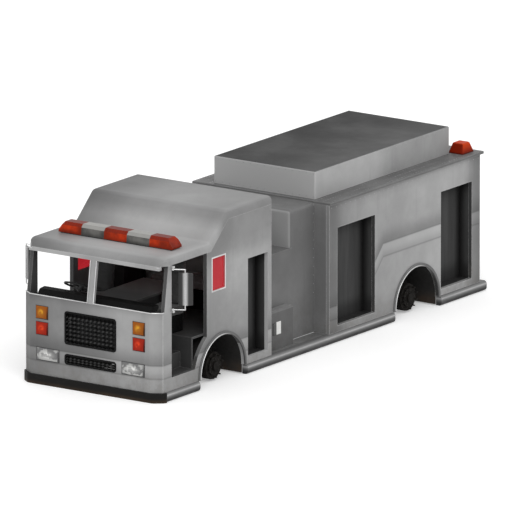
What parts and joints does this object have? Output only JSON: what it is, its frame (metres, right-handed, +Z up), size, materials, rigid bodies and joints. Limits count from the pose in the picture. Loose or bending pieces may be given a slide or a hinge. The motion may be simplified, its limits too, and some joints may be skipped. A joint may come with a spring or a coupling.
{
  "type": "fire engine without road wheels",
  "caption": "Cab-forward fire engine with open doorways and lockers, roof light bar, pump module and roof box, resting on its rub rails with bare steerable hubs.",
  "frame": {"origin": "on the floor, under the middle of the vehicle's length and width", "axes": "front faces -Y, +X to the vehicle's left, +Z up"},
  "size_m": [2.9506, 8.36, 2.52],
  "materials": {
    "grey_paint": "satin",
    "black_paint": "satin",
    "chassis_iron": "matte",
    "radiator_metal": "matte",
    "tread_plate": "brushed",
    "cab_lining": "matte",
    "upholstery": "matte",
    "locker_metal": "satin",
    "tank_plastic": "matte",
    "well_lining": "matte",
    "red_window": "gloss",
    "amber_lens": "gloss",
    "red_lens": "gloss",
    "clear_lens": "gloss",
    "beacon_lens": "gloss",
    "bright_tube": "polished",
    "mirror_shell": "satin"
  },
  "bodies": {
    "chassis": {"cab_roof": "grey_paint", "cab_side_left": "grey_paint", "cab_side_right": "grey_paint", "cab_front_panel": "grey_paint", "windscreen_frame": "grey_paint", "cab_rear_wall": "grey_paint", "pump_module": "grey_paint", "step_boxes": "grey_paint", "body_side_left": "grey_paint", "body_side_right": "grey_paint", "body_end_walls": "grey_paint", "body_deck": "grey_paint", "roof_box": "grey_paint", "side_sills": "grey_paint", "front_bumper": "black_paint", "grilles": "black_paint", "frame_rails": "black_paint", "lightbar_base": "black_paint", "front_axle_beam": "chassis_iron", "rear_axle_housing": "chassis_iron", "leaf_springs": "chassis_iron", "engine": "chassis_iron", "drive_shaft": "chassis_iron", "radiator": "radiator_metal", "running_boards": "tread_plate", "rear_step": "tread_plate", "cab_floor": "cab_lining", "engine_cover": "cab_lining", "dashboard": "cab_lining", "steering_wheel": "cab_lining", "front_seats": "upholstery", "crew_bench": "upholstery", "locker_boxes": "locker_metal", "water_tank": "tank_plastic", "wheel_wells": "well_lining", "arch_lips": "well_lining", "side_windows": "red_window", "amber_lamps": "amber_lens", "red_lamps": "red_lens", "clear_lamps": "clear_lens", "lightbar_clear": "clear_lens", "lightbar_red": "beacon_lens", "beacons": "beacon_lens", "mirror_brackets": "bright_tube"},
    "knuckle_left": {"knuckle_left": "chassis_iron"},
    "knuckle_right": {"knuckle_right": "chassis_iron"},
    "tie_rod": {"tie_rod": "chassis_iron"},
    "hub_front_left": {"hub_front_left": "chassis_iron"},
    "hub_front_right": {"hub_front_right": "chassis_iron"},
    "hub_rear_left": {"hub_rear_left": "chassis_iron"},
    "hub_rear_right": {"hub_rear_right": "chassis_iron"},
    "mirror_left": {"mirror_arm_left": "bright_tube", "mirror_head_left": "mirror_shell"},
    "mirror_right": {"mirror_arm_right": "bright_tube", "mirror_head_right": "mirror_shell"}
  },
  "joints": [
    {"name": "steer_left", "type": "hinge", "parent": "chassis", "child": "knuckle_left", "pos_m": [0.8, -2.58, 0.23], "axis": [0, 0, 1], "range_deg": [-35, 35]},
    {"name": "steer_right", "type": "hinge", "parent": "chassis", "child": "knuckle_right", "pos_m": [-0.8, -2.58, 0.23], "axis": [0, 0, 1], "range_deg": [-35, 35]},
    {"name": "tie_rod_pin", "type": "hinge", "parent": "knuckle_left", "child": "tie_rod", "pos_m": [0.8, -2.42, 0.18], "axis": [0, 0, 1], "range_deg": [-35, 35]},
    {"name": "spin_front_left", "type": "hinge", "parent": "knuckle_left", "child": "hub_front_left", "pos_m": [1.06, -2.58, 0.23], "axis": [1, 0, 0], "continuous": true},
    {"name": "spin_front_right", "type": "hinge", "parent": "knuckle_right", "child": "hub_front_right", "pos_m": [-1.06, -2.58, 0.23], "axis": [1, 0, 0], "continuous": true},
    {"name": "spin_rear_left", "type": "hinge", "parent": "chassis", "child": "hub_rear_left", "pos_m": [1.06, 2.4, 0.23], "axis": [1, 0, 0], "continuous": true},
    {"name": "spin_rear_right", "type": "hinge", "parent": "chassis", "child": "hub_rear_right", "pos_m": [-1.06, 2.4, 0.23], "axis": [1, 0, 0], "continuous": true},
    {"name": "fold_mirror_left", "type": "hinge", "parent": "chassis", "child": "mirror_left", "pos_m": [1.245, -3.86, 1.65], "axis": [0, 0, 1], "range_deg": [-50, 40]},
    {"name": "fold_mirror_right", "type": "hinge", "parent": "chassis", "child": "mirror_right", "pos_m": [-1.245, -3.86, 1.65], "axis": [0, 0, -1], "range_deg": [-50, 40]}
  ],
  "couplings": [
    {"joint": "steer_right", "follows": "steer_left", "ratio": 1},
    {"joint": "tie_rod_pin", "follows": "steer_left", "ratio": -1}
  ]
}
